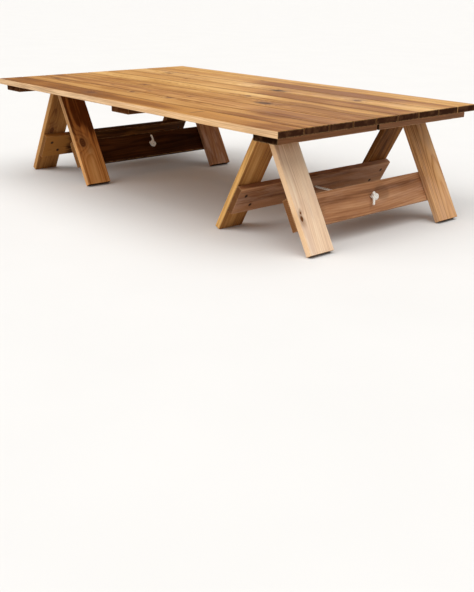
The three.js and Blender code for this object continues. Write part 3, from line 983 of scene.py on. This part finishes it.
LEAF_LENGTH = 60.0
LEAF_REACH = 28.0
PLATE = (0.2, 2.2)
BARREL = 4.0
BORE = 2.4
PIN = 2.0
KNUCKLE_GAP = 0.3
LEAF_SCREW_SCALE = 0.55
LEAF_SCREWS = ((11.0, -20.0), (20.0, 0.0), (11.0, 20.0))
LEAF_SCREW_SPIN = 0.9
SPIN_PER_METRE = 7
LEAF_CORNER = 3.0
CORNER_STEPS = 6
LEAF_BEVEL = 0.25
SHARP_LEAF = 45
PLATE_START = BARREL + 0.7
KNUCKLE_EDGE = 0.35
KNUCKLE_ROOT = (1.0, PLATE_START + 0.5)  # of the strap that joins a knuckle to its plate
BARREL_SIDES = 36
BORE_PAST = 5.0
PIN_PAST = 0.3
PIN_HEAD = ((0, 3.0), (0.45, 2.9), (0.8, 2.4), (1.0, 1.4), (1.0, 0))


def block(low, high, round_by=0.0):
    """A box from low to high, with its two edges along Z rounded at its +X end."""
    corners = [(low[0], low[1])]
    steps = CORNER_STEPS if round_by else 0
    for centre_y, start in ((low[1] + round_by, -90), (high[1] - round_by, 0)):
        for step in range(steps + 1):
            angle = math.radians(start + 90 * step / max(1, steps))
            x = high[0] - round_by + round_by * math.cos(angle)
            corners.append((x, centre_y + round_by * math.sin(angle)))
    corners.append((low[0], high[1]))
    rings = [[(x, y, z) for x, y in corners] for z in (low[2], high[2])]
    mesh = ring_mesh("block", np.array(rings) * MM)
    face_outwards(mesh)
    return mesh


def leaf_mesh(name, knuckles):
    """One hinge leaf: X down the leg from the axis, Y along the axis, Z out to the leg."""
    half = LEAF_LENGTH / 2
    plate = block((PLATE_START, -half, PLATE[0]), (LEAF_REACH, half, PLATE[1]), LEAF_CORNER)
    leaf = add_object(name, plate)
    width = LEAF_LENGTH / 3
    onto_y = Matrix.Rotation(math.pi / 2, 4, "Z")
    parts = []
    for knuckle in knuckles:
        low = -half + knuckle * width + KNUCKLE_GAP / 2
        high = low + width - KNUCKLE_GAP
        barrel = [(low, 0), (low, BARREL - KNUCKLE_EDGE), (low + KNUCKLE_EDGE, BARREL)]
        barrel += [(high - KNUCKLE_EDGE, BARREL), (high, BARREL - KNUCKLE_EDGE), (high, 0)]
        parts.append(turned("barrel", barrel, BARREL_SIDES, onto_y))
        parts.append(block((KNUCKLE_ROOT[0], low, PLATE[0]), (KNUCKLE_ROOT[1], high, PLATE[1])))
    carve(leaf, parts, "UNION")
    end = half + BORE_PAST
    bore = [(-end, 0), (-end, BORE), (end, BORE), (end, 0)]
    holes = [turned("bore", bore, BARREL_SIDES, onto_y)]
    up = Matrix.Rotation(-math.pi / 2, 4, "Y")
    for along, across in LEAF_SCREWS:
        place = Matrix.Translation(Vector((along, across, PLATE[0])) * MM)
        holes.append(sink_mesh(place @ up, LEAF_SCREW_SCALE))
    carve(leaf, holes)
    soften = leaf.modifiers.new("soften", "BEVEL")
    soften.width = LEAF_BEVEL * MM
    soften.segments = 2
    soften.limit_method = "ANGLE"
    soften.angle_limit = math.radians(50)
    settle(leaf)
    mesh = finish_mesh(leaf.data, SHARP_LEAF)
    bpy.data.objects.remove(leaf)
    mesh.materials.clear()
    mesh.materials.append(HINGE_STEEL)
    return mesh


def pin_mesh():
    """A hinge pin along Y, with a low round head at each end."""
    end = LEAF_LENGTH / 2 + PIN_PAST
    half = [(end, PIN), *((end + along, radius) for along, radius in PIN_HEAD)]
    points = [(-along, radius) for along, radius in reversed(half)] + half
    mesh = turned("pin", points, matrix=Matrix.Rotation(math.pi / 2, 4, "Z"))
    mesh.materials.append(HINGE_STEEL)
    return finish_mesh(mesh)


def add_hinges():
    leaves = {"outer": leaf_mesh("leaf_outer", (0, 2)), "inner": leaf_mesh("leaf_inner", (1,))}
    pin = pin_mesh()
    for lean in LEANS:
        turn = Matrix((lean.down, lean.out.cross(lean.down), lean.out)).transposed().to_4x4()
        for side in SIDES:
            node = f"{lean.trestle}_hinge_{side}_leaf_{lean.name}"
            low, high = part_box(node)
            axis = Vector((lean.ridge.x, (low.y + high.y) / 2, lean.ridge.z))
            matrix = Matrix.Translation(axis) @ turn
            leaf = add_object(node + "_plate", leaves[lean.name], matrix)
            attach(leaf, lean.body)
            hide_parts(node)
            for number, (along, across) in enumerate(LEAF_SCREWS, 1):
                head = matrix @ (Vector((along, across, PLATE[0])) * MM)
                spin = LEAF_SCREW_SPIN * number + SPIN_PER_METRE * axis.y
                screw = aimed(head, lean.out, spin)
                add_screw(f"{node}_screw_{number}", screw, lean.body, scale=LEAF_SCREW_SCALE)
            if lean.name == "outer":
                pin_node = f"{lean.trestle}_hinge_{side}_pin"
                rod = add_object(pin_node + "_rod", pin, Matrix.Translation(axis))
                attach(rod, f"{lean.trestle}_ridge")
                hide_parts(pin_node)


# ---- Rope ----

# In mm.

ROPE = 7.0
ROPE_LAY = 24.0
YARN_LAY = 0.9 * ROPE_LAY
YARN_HEIGHT = 0.05
STRANDS = 3
YARNS = 9
GROOVE_SHARE = 0.2  # of the rope's radius
ROPE_RING = 36
ROPE_STEP = 0.55
CURVE_STEPS = 24
END_ROUNDING = 1.6
SHARP_ROPE = 60
STRAND_BEND = 9.0
KNOT_RING = 0.98 * ROPE
KNOT_BIGHT = 0.52 * ROPE
KNOT_MIDDLE = 10.5  # out of the rail
KNOT_OPEN = 0.12
KNOT_LEAD = ((-14, 0, 0), (-6, 0, 0), (0.5, 0.8, -0.5), (3.5, 5, -3))
KNOT_TAIL = ((12.5, 12.5, 4), (13.5, 17, 8), (13.5, 22, 12.5), (12, 26, 17))
TAIL_TURNS = {"right_outer": 200, "right_inner": 41, "left_outer": 181, "left_inner": 55}


def smooth_path(points):
    """Even points along a smooth curve through a few."""
    points = np.array(points, float)
    padded = np.vstack([2 * points[0] - points[1], points, 2 * points[-1] - points[-2]])
    t = np.linspace(0, 1, CURVE_STEPS, endpoint=False)[:, None]
    spans = []
    for a, b, c, d in zip(padded, padded[1:], padded[2:], padded[3:]):
        square = 2 * a - 5 * b + 4 * c - d
        cube = 3 * b - a - 3 * c + d
        spans.append(0.5 * (2 * b + (c - a) * t + square * t**2 + cube * t**3))
    return even_path(np.vstack([*spans, points[-1:]]), ROPE_STEP)


def even_path(line, step):
    """The same line with its points a step apart, or nearly so."""
    travel = np.concatenate([[0], np.cumsum(np.linalg.norm(np.diff(line, axis=0), axis=1))])
    count = max(2, round(travel[-1] / step))
    at = np.linspace(0, travel[-1], count + 1)
    return np.stack([np.interp(at, travel, line[:, k]) for k in range(3)], axis=1)


def rope_radius(angle, travel):
    """A three-strand rope's outline with its yarns, and how deep in a groove each point lies."""
    strand = np.cos(STRANDS * (angle - 2 * math.pi * travel / ROPE_LAY))
    lobe = np.sqrt(np.clip((1 + strand) / 2, 0, 1))
    yarns = np.cos(YARNS * (angle + 2 * math.pi * travel / YARN_LAY))
    radius = ROPE / 2 * (1 - GROOVE_SHARE + GROOVE_SHARE * lobe)
    return radius + YARN_HEIGHT * yarns * lobe, 1 - lobe


def rope_mesh(name, line, travel_from=0.0, rounded=True):
    """A rope along an even line of points, with its ends rounded or cut square."""
    ahead = np.gradient(line, axis=0)
    ahead /= np.linalg.norm(ahead, axis=1)[:, None]
    side = np.cross(ahead[0], (0.31, 0.9, 0.17))
    side /= np.linalg.norm(side)
    step = np.linalg.norm(line[1] - line[0])
    angle = np.linspace(0, 2 * math.pi, ROPE_RING, endpoint=False)
    rings = []
    grooves = []
    total = step * (len(line) - 1)
    for i, (place, direction) in enumerate(zip(line, ahead)):
        side -= direction * side.dot(direction)
        side /= np.linalg.norm(side)
        other = np.cross(direction, side)
        radius, groove = rope_radius(angle, travel_from + i * step)
        near = min(i * step, total - i * step)
        if rounded and near < END_ROUNDING:
            radius = radius * math.sqrt(max(0.05, 1 - (1 - near / END_ROUNDING) ** 2))
        offsets = np.outer(radius * np.cos(angle), side) + np.outer(radius * np.sin(angle), other)
        rings.append(place + offsets)
        grooves.append(groove)
    mesh = ring_mesh(name, np.array(rings) * MM)
    attribute = mesh.attributes.new("groove", "FLOAT", "POINT")
    attribute.data.foreach_set("value", np.array(grooves).ravel().astype(np.float32))
    mesh.materials.append(ROPE_FIBRE)
    return finish_mesh(mesh, SHARP_ROPE)


def strand_line(mouth, out, inward):
    """From inside a rail's hole round its mouth, as far as where the rope runs straight."""
    turn = np.linspace(0, 1, 12)[:, None]
    start = mouth + out * STRAND_BEND
    finish = mouth + inward * STRAND_BEND
    return (1 - turn) ** 2 * start + 2 * turn * (1 - turn) * mouth + turn**2 * finish


def add_strands():
    """Each trestle's taut rope: from inside one rail's hole to inside the other's, in two halves."""
    for trestle in TRESTLES:
        outer, inner = [lean for lean in LEANS if lean.trestle == trestle]
        bends = [
            strand_line(np.array(lean.mouth) / MM, np.array(lean.out), np.array((-lean.sign, 0, 0)))
            for lean in (outer, inner)
        ]
        line = even_path(np.vstack([bends[0], bends[1][::-1]]), ROPE_STEP)
        half = len(line) // 2
        halves = ((outer, line[: half + 1], 0), (inner, line[half:], half * ROPE_STEP))
        for lean, part, travel in halves:
            node = f"{trestle}_rope_strand_{lean.name}"
            strand = add_object(node + "_cord", rope_mesh(node, part, travel, False))
            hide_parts(node)
            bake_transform(strand)


def knot_line():
    """The rope from inside the rail through a stopper knot to its tail: X out of the rail."""
    turns = np.linspace(KNOT_OPEN, 2 * math.pi - KNOT_OPEN, 90)
    out = KNOT_MIDDLE + KNOT_BIGHT * np.sin(3 * turns)
    ring = KNOT_RING + KNOT_BIGHT * np.cos(3 * turns)
    loop = np.stack([out, ring * np.cos(2 * turns), ring * np.sin(2 * turns)], 1)
    return smooth_path([*KNOT_LEAD, *loop[4:-4:6], *KNOT_TAIL])


def add_knots():
    line = knot_line()
    for lean in LEANS:
        node = f"{lean.trestle}_rope_knot_{lean.name}"
        rail, size = measured(node_points(f"{lean.label}_rail"), Y_AXIS, lean.out)
        face = rail.translation + lean.out * (size.z / 2)
        turn = Matrix((lean.out, Y_AXIS, lean.out.cross(Y_AXIS))).transposed().to_4x4()
        spin = Matrix.Rotation(math.radians(TAIL_TURNS[lean.label]), 4, "X")
        knot = add_object(node + "_tied", rope_mesh(node, line), Matrix.Translation(face) @ turn @ spin)
        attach(knot, lean.body)
        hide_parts(node)


# ---- Studio ----

FLOOR_REACH = 40.0
FLOOR_TINTS = (rgb(224, 222, 219), rgb(228, 226, 223))
WORLD_LIGHT = 0.36


def add_sun(name, towards, spread, power):
    """A broad soft light that falls evenly everywhere, from the direction given."""
    data = bpy.data.lights.new(name, "SUN")
    data.energy = power
    data.angle = math.radians(spread)
    light = add_object(name, data)
    light.rotation_euler = towards.to_track_quat("Z", "Y").to_euler()


def add_studio():
    floor = bpy.data.meshes.new("floor")
    level = CAD_BOX[0][2]
    points = [(x * FLOOR_REACH, y * FLOOR_REACH, level) for x, y in SQUARE]
    floor.from_pydata(points, [], [(0, 1, 2, 3)])
    shader = Shader("floor")
    place = shader.coordinates["Object"]
    tint = shader.mix(shader.noise(place, 3.0, 2), *FLOOR_TINTS)
    floor.materials.append(shader.surface(Base_Color=tint, Roughness=0.9, Specular_IOR_Level=0.1))
    add_object("floor", floor)
    world = bpy.data.worlds.new("studio")
    world.use_nodes = True
    backdrop = world.node_tree.nodes["Background"]
    backdrop.inputs[0].default_value = (1, 1, 1, 1)
    backdrop.inputs[1].default_value = WORLD_LIGHT
    bpy.context.scene.world = world
    add_sun("key", Vector((-0.25, -0.85, 0.8)), 50, 1.6)
    add_sun("overhead", Vector((0.3, 0.05, 1)), 70, 2.0)
    add_sun("sheen", Vector((-0.62, 0.76, 0.16)), 20, 0.09)
    bpy.context.scene.view_settings.view_transform = "Standard"


add_strands()
add_knots()
add_planks()
add_cleats()
for lean in LEANS:
    add_frame_boards(lean)
add_hinges()
add_studio()

bpy.context.view_layer.update()
